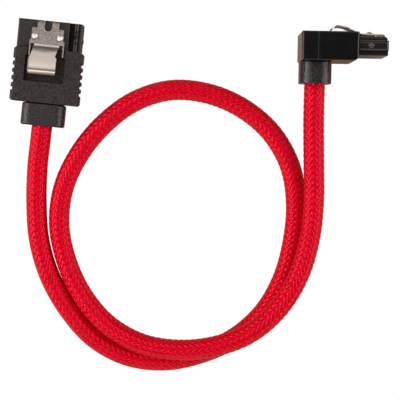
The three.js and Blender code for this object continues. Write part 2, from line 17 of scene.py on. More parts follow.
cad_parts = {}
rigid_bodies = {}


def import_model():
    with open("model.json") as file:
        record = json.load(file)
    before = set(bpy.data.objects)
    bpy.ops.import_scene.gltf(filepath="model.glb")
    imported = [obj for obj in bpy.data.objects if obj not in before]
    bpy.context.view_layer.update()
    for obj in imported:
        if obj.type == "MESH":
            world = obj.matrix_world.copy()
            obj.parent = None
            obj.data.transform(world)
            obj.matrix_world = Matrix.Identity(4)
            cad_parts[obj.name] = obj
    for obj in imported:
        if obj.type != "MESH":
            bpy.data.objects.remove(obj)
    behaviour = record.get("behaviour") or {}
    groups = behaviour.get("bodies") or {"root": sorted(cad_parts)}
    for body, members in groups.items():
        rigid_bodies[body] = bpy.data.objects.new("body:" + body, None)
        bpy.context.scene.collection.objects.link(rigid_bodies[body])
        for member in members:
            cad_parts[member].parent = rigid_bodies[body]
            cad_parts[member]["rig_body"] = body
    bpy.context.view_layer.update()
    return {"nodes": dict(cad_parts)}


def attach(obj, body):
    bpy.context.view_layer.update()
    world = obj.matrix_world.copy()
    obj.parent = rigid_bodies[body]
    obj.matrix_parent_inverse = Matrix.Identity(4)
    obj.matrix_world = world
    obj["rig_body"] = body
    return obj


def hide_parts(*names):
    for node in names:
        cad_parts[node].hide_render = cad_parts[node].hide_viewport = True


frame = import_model()
MM = 0.001

# %% [markdown]
# ## The camera
# The picture was taken from almost straight above. A long lens far away keeps the plugs from
# splaying, and a small lean lets the camera see a little of the sides that face it. The lens
# follows from what the frame has to hold: its focal length is to the sensor as the distance is
# to the width seen.

# %% Aim the camera
SEEN_WIDTH = 85 * MM  # what the square frame holds on the table
SENSOR = 36  # millimetres
aim = Vector((0.712, -26.705, 0)) * MM
camera_offset = Vector((0, 12, 320)) * MM

camera_data = bpy.data.cameras.new("picture")
camera_data.sensor_width = SENSOR
camera_data.lens = SENSOR * camera_offset.length / SEEN_WIDTH
camera_data.clip_start = 10 * MM
camera = bpy.data.objects.new("picture", camera_data)
camera.location = aim + camera_offset
camera.rotation_euler = (-math.atan2(camera_offset.y, camera_offset.z), 0, 0)
bpy.context.scene.collection.objects.link(camera)
bpy.context.scene.camera = camera
print(f"lens {camera_data.lens:.1f} mm at {camera_offset.length:.3f} m")

# %% [markdown]
# ## The light table
# A product shot like this one lies on a glowing white table among large, slightly warm softboxes.
# Black plastic and bare steel show little but what they mirror, so each box is placed for what
# it draws. The long boxes on the left and right put a light band on each flank and leave the
# tops dark. The one at the back lights the raised steel tab, the one at the front the faces
# that look down the picture, and a few small dim ones overhead keep upward steel from going
# black. A large plane with a little emission is the table, and area lights are the softboxes.

# %% Lay the table
TABLE_SIDE = 4.0


def place_in_scene(name, mesh):
    piece = bpy.data.objects.new(name, mesh)
    bpy.context.scene.collection.objects.link(piece)
    return piece


table_form = bmesh.new()
bmesh.ops.create_grid(table_form, x_segments=1, y_segments=1, size=TABLE_SIDE / 2)
table_mesh = bpy.data.meshes.new("table")
table_form.to_mesh(table_mesh)
table_form.free()
table = place_in_scene("table", table_mesh)
print(f"a table {TABLE_SIDE:.0f} m square")

# %% Set the lamps
LAMP_COLOUR = (1.0, 0.95, 0.92)
LAMPS = (  # name, place and size in metres, power in watts
    ("left_box", (-0.98, 0.0, 0.54), (1.3, 0.6), 11.4),
    ("right_box", (0.98, 0.0, 0.54), (1.3, 0.6), 8.6),
    ("back_box", (0.0, 0.63, 0.9), (1.4, 1.0), 3.6),
    ("front_box", (0.0, -0.98, 0.5), (1.4, 0.6), 4.4),
    ("upper_left_box", (-0.3, 0.08, 1.05), (0.6, 0.5), 0.9),
    ("inner_left_box", (-0.64, 0.0, 0.95), (1.0, 0.35), 0.8),
    ("inner_right_box", (0.64, 0.0, 0.95), (1.0, 0.35), 0.5),
)


def softbox(name, place, size, watts):
    lamp = bpy.data.lights.new(name, "AREA")
    lamp.shape = "RECTANGLE"
    lamp.size, lamp.size_y = size
    lamp.energy = watts
    lamp.color = LAMP_COLOUR
    stand = bpy.data.objects.new(name, lamp)
    stand.location = Vector(place)
    stand.rotation_euler = (aim - stand.location).to_track_quat("-Z", "Y").to_euler()
    bpy.context.scene.collection.objects.link(stand)


for row in LAMPS:
    softbox(*row)
print(f"{len(LAMPS)} softboxes")

# %% Dim the room
ROOM_LIGHT = 0.05

world = bpy.data.worlds.new("room")
world.use_nodes = True
room_light = world.node_tree.nodes["Background"]
room_light.inputs["Color"].default_value = (1, 1, 1, 1)
room_light.inputs["Strength"].default_value = ROOM_LIGHT
bpy.context.scene.world = world
bpy.context.scene.view_settings.view_transform = "Standard"
bpy.context.scene.view_settings.look = "None"
print("room light:", ROOM_LIGHT)

# %% [markdown]
# ## A small language for finishes
# A node tree written out by hand is long, and its sums are hard to read. Two small classes keep
# it short. A Field is a socket that Python can reckon with, so that a * 2 + b adds its Math
# nodes by itself. A Finish is one material, with one method that adds any other node.


# %% Reckon with sockets
def plug_in(tree, value, socket):
    if isinstance(value, Field):
        tree.links.new(value.socket, socket)
    else:
        socket.default_value = value


class Field:
    def __init__(self, tree, socket):
        self.tree = tree
        self.socket = socket

    def math(self, operation, *values):
        node = self.tree.nodes.new("ShaderNodeMath")
        node.operation = operation
        for value, socket in zip(values, node.inputs):
            plug_in(self.tree, value, socket)
        return Field(self.tree, node.outputs[0])

    def __add__(self, other):
        return self.math("ADD", self, other)

    def __radd__(self, other):
        return self.math("ADD", other, self)

    def __sub__(self, other):
        return self.math("SUBTRACT", self, other)

    def __rsub__(self, other):
        return self.math("SUBTRACT", other, self)

    def __mul__(self, other):
        return self.math("MULTIPLY", self, other)

    def __rmul__(self, other):
        return self.math("MULTIPLY", other, self)

    def __abs__(self):
        return self.math("ABSOLUTE", self)

    def root(self):
        return self.math("SQRT", self)


# %% Keep one material's nodes together
OBJECT_PLACE = 3  # the output of a Texture Coordinate node
MIX_SOCKETS = (0, 6, 7)  # the factor and the two colours of a Mix node
MIX_RESULT = 2


class Finish:
    def __init__(self, name, **constants):
        self.material = bpy.data.materials.new(name)
        self.material.use_nodes = True
        self.tree = self.material.node_tree
        self.shader = self.tree.nodes["Principled BSDF"]
        for socket, value in constants.items():
            self.shader.inputs[socket.replace("_", " ")].default_value = value

    def node(self, kind, settings=None, output=0, **sockets):
        made = self.tree.nodes.new(kind)
        for name, value in (settings or {}).items():
            setattr(made, name, value)
        for name, value in sockets.items():
            plug_in(self.tree, value, made.inputs[name.replace("_", " ")])
        return Field(self.tree, made.outputs[output])

    def where(self):
        """The place of a point, in metres on the whole cable."""
        return self.node("ShaderNodeTexCoord", output=OBJECT_PLACE)

    def noise(self, where, scale, detail=2.0):
        return self.node("ShaderNodeTexNoise", Vector=where, Scale=scale, Detail=detail)

    def blend(self, amount, first, second):
        made = self.tree.nodes.new("ShaderNodeMix")
        made.data_type = "RGBA"
        for value, index in zip((amount, first, second), MIX_SOCKETS):
            plug_in(self.tree, value, made.inputs[index])
        return Field(self.tree, made.outputs[MIX_RESULT])

    def narrow_band(self, value, middle, half_width=0.1 * MM):
        """1 at the middle of the band, falling to 0 at twice its half width."""
        return self.node(
            "ShaderNodeMapRange", Value=abs(value - middle),
            From_Min=2 * half_width, From_Max=half_width,
        )

    def relief(self, height, depth):
        return self.node("ShaderNodeBump", Height=height, Distance=depth)

    def end_with(self, amount, first, second):
        """End the tree with a mix of two shaders."""
        mix = self.tree.nodes.new("ShaderNodeMixShader")
        plug_in(self.tree, amount, mix.inputs[0])
        self.tree.links.new(first, mix.inputs[1])
        self.tree.links.new(second, mix.inputs[2])
        self.tree.links.new(mix.outputs[0], self.tree.nodes["Material Output"].inputs[0])

    def paint(self, **varying):
        for socket, field in varying.items():
            plug_in(self.tree, field, self.shader.inputs[socket.replace("_", " ")])
        return self.material


# %% Name a colour
def colour(red, green, blue):
    """A colour as a screen shows it, from 0 to 255, in the light-linear numbers of a shader."""
    def linear(value):
        """Undo the curve that the sRGB standard puts on a screen's values."""
        share = value / 255
        return share / 12.92 if share <= 0.04045 else ((share + 0.055) / 1.055) ** 2.4

    return (linear(red), linear(green), linear(blue), 1)


print("a middle grey on screen is", round(colour(128, 128, 128)[0], 3), "in a shader")

# %% Make the table glow
table_finish = Finish("light_table", Roughness=0.9)
table_finish.shader.inputs["Base Color"].default_value = colour(202, 167, 146)
glow = table_finish.node("ShaderNodeEmission", Color=(1, 1, 1, 1), Strength=1.0)
seen_directly = table_finish.node("ShaderNodeLightPath")
table_finish.end_with(seen_directly, table_finish.shader.outputs[0], glow.socket)
table_mesh.materials.append(table_finish.material)
print("seen directly the table glows white, and in reflections it is a warm grey")

# %% [markdown]
# ## The line of the cord
# The cord leaves the straight plug, lies on the table for one whole loop, passes over itself and
# rises a little to the second plug. Its real length and its route are settled in the rigid
# model, and the same points are repeated here. A Bezier spline with automatic handles would
# round its ends, so the points become a centripetal Catmull-Rom line, which passes through all
# of them without overshooting.

# %% List the points of the route
CORD_DIAMETER = 4.4 * MM
CORD_ROUTE = [
    (-32.38, -10.05, 2.95),
    (-32.5, -11.25, 2.95),
    (-32.88, -14.4, 2.87),
    (-33.49, -19.2, 2.48),
    (-33.79, -27.2, 2.25),
    (-33.23, -35.21, 2.25),
    (-30.96, -42.9, 2.25),
    (-27.06, -49.8, 2.25),
    (-21.72, -55.8, 2.25),
    (-14.63, -59.62, 2.25),
    (-6.66, -60.61, 2.25),
    (1.14, -59, 2.25),
    (8.45, -55.55, 2.25),
    (14.31, -50.14, 2.25),
    (18.24, -43.1, 2.25),
    (20.3, -35.4, 2.25),
    (20.98, -27.4, 2.25),
    (19.74, -19.6, 2.25),
    (15.85, -12.61, 2.25),
    (9.77, -7.36, 2.25),
    (2.41, -4.22, 2.25),
    (-5.45, -3.51, 2.25),
    (-13.04, -5.85, 2.25),
    (-19.43, -10.54, 2.25),
    (-24.5, -16.6, 2.25),
    (-27.99, -23.82, 2.25),
    (-29, -31.7, 2.36),
    (-27.45, -39.47, 2.79),
    (-24.05, -46.63, 3.5),
    (-18.86, -52.6, 4.45),
    (-11.89, -56.51, 5.52),
    (-4.05, -57.82, 6.37),
    (3.84, -57, 6.83),
    (11.28, -54.11, 6.87),
    (17.33, -48.77, 6.57),
    (21.43, -41.98, 6.02),
    (23.7, -34.23, 5.52),
    (24.49, -26.3, 5.4),
    (24.44, -18.3, 5.65),
    (24.33, -10.3, 6.45),
    (24.36, -6.1, 6.95),
    (24.44, -2.4, 7.2),
    (24.46, -1.2, 7.2),
]
print(len(CORD_ROUTE), "points")


# %% Draw a smooth line through them
def smooth_line(points, steps=24):
    """Points close together on the centripetal Catmull-Rom line through the given ones."""
    knots = [np.array(point) for point in points]
    knots = [2 * knots[0] - knots[1], *knots, 2 * knots[-1] - knots[-2]]
    line = []
    for before, start, end, after in zip(knots, knots[1:], knots[2:], knots[3:]):
        spans = ((before, start), (start, end), (end, after))
        gaps = [math.sqrt(np.linalg.norm(b - a)) for a, b in spans]
        into = (start - before) / gaps[0] - (end - before) / (gaps[0] + gaps[1])
        out = (end - start) / gaps[1] - (after - start) / (gaps[1] + gaps[2])
        into = (into + (end - start) / gaps[1]) * gaps[1]
        out = (out + (after - end) / gaps[2]) * gaps[1]
        for t in np.arange(steps) / steps:
            line.append(
                (2 * t**3 - 3 * t**2 + 1) * start
                + (t**3 - 2 * t**2 + t) * into
                + (3 * t**2 - 2 * t**3) * end
                + (t**3 - t**2) * out
            )
    line.append(knots[-2])
    return np.array(line) * MM


line = smooth_line(CORD_ROUTE)
steps_along = np.linalg.norm(np.diff(line, axis=0), axis=1)
travel = np.concatenate(([0], np.cumsum(steps_along)))
cord_length = float(travel[-1])
print(f"the cord is {cord_length / MM:.0f} mm long")

# %% [markdown]
# ## A direction around the cord
# The plait needs to know, at each step, which way is round the cord. A frame that is carried
# along the line and only ever turned as little as the bend asks for doesn't twist, so the yarns
# keep an even angle.


# %% Carry a frame along the line
def carry_frame(points):
    along = np.gradient(points, axis=0)
    along /= np.linalg.norm(along, axis=1)[:, None]
    side = np.cross(along[0], (0, 0, 1))
    sides = []
    for direction in along:
        side = side - direction * side.dot(direction)
        side = side / np.linalg.norm(side)
        sides.append(side)
    sides = np.array(sides)
    return sides, np.cross(along, sides)


frame_side, frame_up = carry_frame(line)


def on_cord(distance, radius, angle):
    """Points at a distance along the cord, a radius from its middle and an angle round it."""
    def at(values):
        return np.stack([np.interp(distance, travel, values[:, axis]) for axis in range(3)], 1)

    across = np.cos(angle)[:, None] * at(frame_side) + np.sin(angle)[:, None] * at(frame_up)
    return at(line) + radius[:, None] * across


print(len(frame_side), "frames along the line")

# %% [markdown]
# ## The plait
# Such a sleeve is a regular braid: twelve yarns wind one way and twelve the other, and each goes
# over two and then under two. The over-stitches line up in twelve columns that lean left and
# right in turn, which is the herringbone look of the cord. A bump map could fake it, but the
# light catches the real stitches better, and the outline gets its small waves. Each yarn starts
# as a flat grid with its own UV, is rolled to a flattened tube, and is then wound on the cord by
# one formula. Its height follows a cosine of its place round the cord, which puts the crossings
# right by itself.

# %% Settle the plait's sizes
YARNS_EACH_WAY = 12
STITCH_LENGTH = 1.28 * MM  # along the cord, from one stitch to the next in a column
YARN_WIDTH = 0.98 * MM
YARN_THICKNESS = 0.36 * MM
WEAVE_HEIGHT = 0.09 * MM
STITCH_STEPS = 4  # rings along one stitch
YARN_SIDES = 8
SQUARENESS = 0.7  # 1 leaves a yarn's section oval, and less makes it flatter on top
YARN_WELD = 0.001 * MM  # where the rolled grid meets itself
lead = STITCH_LENGTH * YARNS_EACH_WAY
plait_radius = CORD_DIAMETER / 2 - WEAVE_HEIGHT - YARN_THICKNESS / 2
lean = math.atan2(2 * math.pi * plait_radius, lead)
print(f"the yarns lean {math.degrees(lean):.0f} degrees")


# %% Wind the yarns of one direction
def flatten(share):
    """Push a round section towards a rectangle, so that the yarn is flat on top."""
    return np.sign(share) * np.abs(share) ** SQUARENESS


def wind_yarn(form, index, turn):
    """A yarn from one end of the cord to the other; turn is 1 or -1, the way it winds."""
    rings = round(cord_length / STITCH_LENGTH * STITCH_STEPS)
    grid = bmesh.ops.create_grid(
        form, x_segments=rings, y_segments=YARN_SIDES, size=0.5, calc_uvs=True
    )["verts"]
    flat = np.array([vert.co for vert in grid])
    distance = (flat[:, 0] + 0.5) * cord_length
    roll = (flat[:, 1] + 0.5) * 2 * math.pi
    across = flatten(np.cos(roll)) * YARN_WIDTH / 2
    height = flatten(np.sin(roll)) * YARN_THICKNESS / 2
    place = 2 * math.pi * index / YARNS_EACH_WAY + turn * 2 * math.pi * distance / lead
    column = place / (math.pi / YARNS_EACH_WAY)
    weave = turn * np.cos(math.pi / 2 * (column - 0.5))
    radius = plait_radius + WEAVE_HEIGHT * weave + height
    angle = place + across * math.cos(lean) / plait_radius
    beside = np.clip(distance - turn * across * math.sin(lean), 0, cord_length)
    for vert, co in zip(grid, on_cord(beside, radius, angle)):
        vert.co = co


def braid(name, turn):
    form = bmesh.new()
    uv_layer = form.loops.layers.uv.new("yarn")
    for index in range(YARNS_EACH_WAY):
        wind_yarn(form, index, turn)
    bmesh.ops.remove_doubles(form, verts=form.verts, dist=YARN_WELD)
    ends = [edge for edge in form.edges if edge.is_boundary]
    bmesh.ops.holes_fill(form, edges=ends, sides=YARN_SIDES + 1)
    for loop in (loop for face in form.faces for loop in face.loops):
        across, along = loop[uv_layer].uv
        loop[uv_layer].uv = (along, across * cord_length / STITCH_LENGTH)
    bmesh.ops.recalc_face_normals(form, faces=form.faces)
    mesh = bpy.data.meshes.new(name)
    form.to_mesh(mesh)
    form.free()
    mesh.shade_smooth()
    piece = place_in_scene(name, mesh)
    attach(piece, "cable")
    triangles = sum(len(face.vertices) - 2 for face in mesh.polygons)
    print(f"{name}: {triangles} triangles")
    return piece


right_hand_yarns = braid("right_hand_yarns", 1)
left_hand_yarns = braid("left_hand_yarns", -1)

# %% [markdown]
# ## The core
# Under the plait runs the cord's jacket, which closes the small gaps between the yarns. A curve
# with a round bevel makes such a tube, and it is turned into a mesh once it is done.

# %% Run the core through the plait
CORE_SHARE = 0.96  # of the plait's middle radius
CORE_STRIDE = 3  # the line has more points than the core needs
CORE_RESOLUTION = 4


def cord_core():
    data = bpy.data.curves.new("cord_core", "CURVE")
    data.dimensions = "3D"
    data.bevel_depth = plait_radius * CORE_SHARE
    data.bevel_resolution = CORE_RESOLUTION
    data.use_fill_caps = True
    spline = data.splines.new("POLY")
    kept = line[::CORE_STRIDE]
    spline.points.add(len(kept) - 1)
    for point, co in zip(spline.points, kept):
        point.co = (*co, 1)
    spline.use_smooth = True
    tube = bpy.data.objects.new("cord_tube", data)
    mesh = bpy.data.meshes.new_from_object(tube)
    bpy.data.objects.remove(tube)
    return place_in_scene("cord_core", mesh)


core = cord_core()
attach(core, "cable")
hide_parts("braided_cord")
print(f"the core is {2 * plait_radius * CORE_SHARE / MM:.2f} mm thick")

# %% [markdown]
# ## Red yarn
# Each yarn is a flat bundle of shiny polyester filaments. Close by, the filaments are fine
# ridges along the yarn, which its own UV can draw: U runs round the yarn and V along it. Dyed
# fibres colour the light that they mirror, so the highlights are tinted pink, and a little
# sheen adds the bloom that they have at a grazing angle. The jacket below is plain and dull,
# and only fills the gaps with red.

# %% Dye the yarn
FILAMENT_STRETCH = (26, 1.2, 1)  # fine across the yarn and long along it
PATCH_SCALE = 0.9  # the dye is a little uneven from stitch to stitch

yarn = Finish(
    "red_yarn", Metallic=0.15, Sheen_Weight=0.05, Sheen_Roughness=0.4, Specular_IOR_Level=0.9
)
yarn.shader.inputs["Sheen Tint"].default_value = colour(255, 70, 92)
yarn.shader.inputs["Specular Tint"].default_value = colour(255, 85, 130)
yarn_uv = yarn.node("ShaderNodeUVMap", {"uv_map": "yarn"})
stretched = yarn.node("ShaderNodeMapping", Vector=yarn_uv, Scale=FILAMENT_STRETCH)
filaments = yarn.noise(stretched, 1.0)
patches = yarn.noise(yarn_uv, PATCH_SCALE, 1.0)
deep_red = colour(194, 0, 20)
bright_red = colour(220, 0, 31)
yarn.paint(
    Base_Color=yarn.blend(filaments * 0.6 + patches * 0.4, deep_red, bright_red),
    Roughness=0.18 + 0.1 * filaments,
    Normal=yarn.relief(filaments, 0.03 * MM),
)
for piece in (right_hand_yarns, left_hand_yarns):
    piece.data.materials.append(yarn.material)
print("yarn nodes:", len(yarn.tree.nodes))

# %% Dye the jacket
JACKET_GRAIN = 4000  # per metre

jacket = Finish("cord_jacket", Roughness=0.8)
grain = jacket.noise(jacket.where(), JACKET_GRAIN)
jacket.paint(Base_Color=jacket.blend(grain, colour(196, 2, 26), colour(210, 4, 30)))
core.data.materials.append(jacket.material)
print("jacket nodes:", len(jacket.tree.nodes))

# %% [markdown]
# ## Each plug's own frame
# Both plugs have the same nose and the same latch, laid down two ways: one flat with its latch
# up, the other on its narrow side. What is measured on a plug, such as where its press tab
# begins, is simplest to say in the plug's own frame. A matrix holds it: X runs across the plug,
# Y the way it mates, and Z towards its latch side. The origin is at the mating end, in the
# middle of the plain face that lies opposite the latch.


# %% Find the two plugs
def plug_frame(place, axes):
    """Where a plug is: across it, the way it mates and its latch side, as the axes of a matrix."""
    return Matrix.Translation(Vector(place) * MM) @ Matrix(axes).transposed().to_4x4()


STRAIGHT_TURN = math.radians(-5.8)
ANGLE_TURN = math.radians(-1)
STRAIGHT_PLUG = plug_frame(
    (-30.198, 10.785, 0),
    (
        (math.cos(STRAIGHT_TURN), math.sin(STRAIGHT_TURN), 0),
        (-math.sin(STRAIGHT_TURN), math.cos(STRAIGHT_TURN), 0),
        (0, 0, 1),
    ),
)
ANGLE_PLUG = plug_frame(
    (38.972, 1.945, 7.2),
    (
        (0, 0, 1),
        (math.cos(ANGLE_TURN), math.sin(ANGLE_TURN), 0),
        (-math.sin(ANGLE_TURN), math.cos(ANGLE_TURN), 0),
    ),
)
print("mating faces:", *(tuple(plug.to_translation()) for plug in (STRAIGHT_PLUG, ANGLE_PLUG)))

# %% [markdown]
# ## The press tab
# A latch is stamped and folded from one strip of spring steel. Its press tab rises steeply out
# of the plate, runs up in a straight line, and curls down at its end. On the real plugs that
# line is a little straighter and the curl tighter than on the solid, so the copy's tab is bent
# to it. A Lattice or Curve modifier could do that, but two side views say it exactly: a vertex
# keeps its distance along the strip and its side of it, and moves from the one line to the other.

# %% Draw the press tab's side view
CURVE_POINTS = 40
LINE_POINTS = 400


def bezier(*controls):
    """Points on a Bezier curve: millimetres back from the mating face, and up from the nose."""
    share = np.linspace(0, 1, CURVE_POINTS)[:, None]
    layers = [np.array(control) for control in controls]
    while len(layers) > 1:
        layers = [(1 - share) * a + share * b for a, b in zip(layers, layers[1:])]
    return layers[0]


def side_view(*curves):
    """A line of evenly spaced places, with its direction and its upper side at each."""
    points = np.vstack(curves) * MM
    steps = np.linalg.norm(np.diff(points, axis=0), axis=1)
    gone = np.concatenate(([0], np.cumsum(steps)))
    even = np.linspace(0, gone[-1], LINE_POINTS)
    places = np.stack([np.interp(even, gone, points[:, axis]) for axis in (0, 1)], 1)
    ahead = np.gradient(places, axis=0)
    ahead /= np.linalg.norm(ahead, axis=1)[:, None]
    return places, ahead, np.stack((-ahead[:, 1], ahead[:, 0]), 1)


MODELLED_TAB = side_view(
    bezier((5, 0.545), (5.55, 0.545), (5.6, 0.887), (6.15, 1.12)),
    bezier((6.15, 1.12), (8.3, 2.03)),
    bezier((8.3, 2.03), (8.94, 2.3), (9.9, 2.3)),
    bezier((9.9, 2.3), (10.85, 2.3), (11.2, 1.55)),
)
WORN_TAB = side_view(
    bezier((5, 0.545), (5.35, 0.545), (5.65, 0.765)),
    bezier((5.65, 0.765), (6.15, 1.13)),
    bezier((6.15, 1.13), (6.4, 1.31), (6.8, 1.48)),
    bezier((6.8, 1.48), (8.2, 2.04), (9.95, 2.27)),
    bezier((9.95, 2.27), (10.35, 2.32), (10.55, 2.13)),
    bezier((10.55, 2.13), (11.2, 1.56)),
)
for tab in (MODELLED_TAB, WORN_TAB):
    print(f"the tab's crest is {tab[0][:, 1].max() / MM:.2f} mm above the nose")


# %% Bend the tab from one side view to the other
LATCH_MIDDLE = -0.44 * MM  # its centre line, across from the plug's middle
NOSE_TOP = 5.1 * MM  # the nose's flat top, from the plain face
TAB_HALF = 3.2 * MM  # ends in the slits between the tab and the legs
CUTS = np.arange(6.45, 8.2, 0.3) * MM  # across the long straight faces, which can't bend whole


def bend_tab(form, plug):
    """Bend the press tab of a latch from the modelled side view to the worn one."""
    form.transform(plug.inverted())
    for distance in CUTS:
        bmesh.ops.bisect_plane(
            form, geom=[*form.verts, *form.edges, *form.faces],
            plane_co=(0, -distance, 0), plane_no=(0, 1, 0),
        )
    places, ahead, upper = MODELLED_TAB
    new_places, new_ahead, new_upper = WORN_TAB
    for vert in form.verts:
        place = np.array((-vert.co.y, vert.co.z - NOSE_TOP))
        if place[0] < places[0, 0] or abs(vert.co.x - LATCH_MIDDLE) > TAB_HALF:
            continue
        near = np.linalg.norm(places - place, axis=1).argmin()
        gap = place - places[near]
        distance, height = (
            new_places[near]
            + gap.dot(ahead[near]) * new_ahead[near]
            + gap.dot(upper[near]) * new_upper[near]
        )
        vert.co.y = -distance
        vert.co.z = height + NOSE_TOP
    form.transform(plug)


print(len(CUTS), "cuts across each tab")


# %% [markdown]
# ## Whole faces and fine bevels
# The rigid pieces already have the right shape, but they come as loose triangles with perfectly
# sharp edges. Each piece is copied, its triangles are merged into whole faces, and its sharp
# edges get a bevel, so that what was curved in facets can be shaded smooth right up to them. The
# bevel tool is told to let no bevels overlap, and it takes the tightest place of a piece as the
# limit for all of it. So the bevels come out far narrower than the widths asked for below, a
# few thousandths of a millimetre on most pieces. That is enough for the shading, but too little
# to catch the light as a real edge does.

# %% Soften a rigid piece
PIECE_WELD = 0.002 * MM
SHARP_CORNER = math.radians(32)
FLAT_ENOUGH = math.radians(0.5)
LATCHES = {"straight_latch": STRAIGHT_PLUG, "angle_latch": ANGLE_PLUG}


def keep_flats_flat(mesh):
    """Turn each vertex normal towards its largest faces, so that only the bevels look round."""
    normals = np.zeros((len(mesh.vertices), 3))
    for face in mesh.polygons:
        normals[list(face.vertices)] += np.array(face.normal) * face.area
    mesh.normals_split_custom_set_from_vertices(normals)


def soften(node, edge):
    source = frame["nodes"][node]
    form = bmesh.new()
    form.from_mesh(source.data)
    bmesh.ops.remove_doubles(form, verts=form.verts, dist=PIECE_WELD)
    if node in LATCHES:
        bend_tab(form, LATCHES[node])
    bmesh.ops.dissolve_limit(form, angle_limit=FLAT_ENOUGH, verts=form.verts, edges=form.edges)
    sharp = [
        side for side in form.edges
        if side.is_manifold and side.calc_face_angle() > SHARP_CORNER
    ]
    bmesh.ops.bevel(
        form, geom=sharp, offset=edge, offset_type="OFFSET", affect="EDGES", segments=2,
        profile=0.5, clamp_overlap=True, material=-1,
    )
    many_sided = [face for face in form.faces if len(face.verts) > 4]
    bmesh.ops.triangulate(form, faces=many_sided)
    mesh = bpy.data.meshes.new("soft_" + node)
    form.to_mesh(mesh)
    form.free()
    mesh.shade_smooth()
    keep_flats_flat(mesh)
    piece = place_in_scene("soft_" + node, mesh)
    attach(piece, source["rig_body"])
    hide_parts(node)
    print(f"{node}: {len(sharp)} sharp edges, {len(mesh.polygons)} faces")
    return piece


# %% Soften them all
EDGES = {  # the bevel widths asked for; the tightest place of a piece allows less
    "straight_housing": 0.12 * MM,
    "angle_housing": 0.07 * MM,
    "straight_shell": 0.12 * MM,
    "angle_front_shell": 0.07 * MM,
    "angle_rear_cap": 0.07 * MM,
    "straight_strain_relief": 0.1 * MM,
    "angle_strain_relief": 0.1 * MM,
    "straight_latch": 0.04 * MM,
    "angle_latch": 0.04 * MM,
}
soft = {node: soften(node, edge) for node, edge in EDGES.items()}
print(len(soft), "softened pieces")

# %% [markdown]
# ## Places on a plug
# Some finishes change from place to place on a piece: the steel is dull and painted darker on
# the plate, as painted shade, and bright on the tab, and the nose is satin with a mirror-like
# groove. Object coordinates say where a point is on the whole cable. A Mapping node of type
# Texture counts them from a plug's origin and turns them to lie along it, and a ramp on one of
# them then tells one area from the next.


# %% Find the way around a plug
BORDER_BLUR = 0.12 * MM


def in_plug(finish, plug, turn):
    """Object coordinates counted from a plug's origin and turned about Z to lie along it."""
    turned = finish.node(
        "ShaderNodeMapping", {"vector_type": "TEXTURE"},
        Vector=finish.where(),
        Location=plug.to_translation(), Rotation=(0, 0, turn),
    )
    return [
        finish.node("ShaderNodeSeparateXYZ", output=axis, Vector=turned) for axis in range(3)
    ]


def step_at(finish, value, place, blur=BORDER_BLUR):
    """0 below the place and 1 above it, with a short ramp between."""
    return finish.node(
        "ShaderNodeMapRange", Value=value, From_Min=place - blur, From_Max=place + blur
    )


# %% [markdown]
# ## Moulded plastic
# The grip and the boots come from moulds with a sparked surface, which gives them a fine grain.
# A bump alone looks too even, so one noise drives both the relief and a blend between a darker
# and a lighter tone: painted shade in the pits of the grain and painted light on its tops. A
# second, broad noise makes the gloss a little cloudy. The boots are softer and glossier than the
# grip. Both are one plastic, but the right-angle one looks darker as it lies, so it has its own
# darker mix, which paints shade onto it.


# %% Give the plastics their grain
BROAD_CLOUDS = 260  # per metre, so one every few millimetres
# Painted shade in the grain's pits and painted light on its tops, as shares of the middle tone
PAINTED_PIT_SHADE = 0.3  # this and the next are shares of the middle tone
PAINTED_TOP_LIGHT = 3.5


def plastic(name, base, roughness, grain_size, grain_depth, gloss, contrast):
    """A moulded plastic; base is its middle tone and contrast says how strongly the grain's
    painted light and shade show.
    """
    finish = Finish(name, Specular_IOR_Level=gloss)
    where = finish.where()
    grain = finish.noise(where, 1 / grain_size, 3.0)
    clouds = finish.noise(where, BROAD_CLOUDS)
    # The darker tone paints shade into the pits of the grain, and the lighter one paints light on
    # its tops.
    pit_shade, top_light = (
        tuple(min(1.0, share * tone) for share in base[:3]) + (1,) for tone in (PAINTED_PIT_SHADE, PAINTED_TOP_LIGHT)
    )
    finish.paint(
        Base_Color=finish.blend(0.45 + contrast * (grain - 0.5), pit_shade, top_light),
        Roughness=roughness - 0.05 + 0.1 * clouds,
        Normal=finish.relief(grain, grain_depth),
    )
    print(f"{name}: a grain of {grain_size / MM:.2f} mm")
    return finish.material


grip_plastic = plastic(
    "grip_plastic", colour(27, 21, 20), roughness=0.55,
    grain_size=0.5 * MM, grain_depth=0.1 * MM, gloss=0.38, contrast=2.6,
)
boot_plastic = plastic(
    "boot_plastic", colour(14, 10, 10), roughness=0.34,
    grain_size=0.36 * MM, grain_depth=0.13 * MM, gloss=0.6, contrast=2.4,
)
# A darker copy of the boot plastic, which paints shade onto the right-angle boot as it lies.
shaded_boot_plastic = plastic(
    "shaded_boot_plastic", colour(4, 3, 3), roughness=0.24,
    grain_size=0.36 * MM, grain_depth=0.14 * MM, gloss=0.6, contrast=2.4,
)

# %% [markdown]
# ## The straight plug's nose
# Its flat top is satin. To the right of it runs a smooth dark groove, and then the guide rail,
# with a broken light line painted along each of its two edges as a painted highlight. Black
# plastic that mirrors strongly at every angle is hard to get from gloss alone, so the groove is
# made partly metallic on a very dark base. The rail's outer flank is dull again, and its warmer
# brown is painted reflection of warm light.


# %% Polish the groove and leave the nose satin
FLAT_END = 3.9 * MM  # this and the next three are to the right of the plug's middle
RAIL_START = 5.1 * MM
RAIL_RIDGE = 5.55 * MM
RAIL_FLANK = 6.1 * MM
FINE_CLOUDS = 400  # per metre
# A noise breaks the painted highlight lines along the rail's edges, so that more than half of each
# edge keeps its line.
LINE_BREAK_SCALE = 900
LINE_SHOWN_ABOVE = 0.42  # of the noise, so more than half of an edge is scuffed
LINE_BREAK_BLUR = 0.08


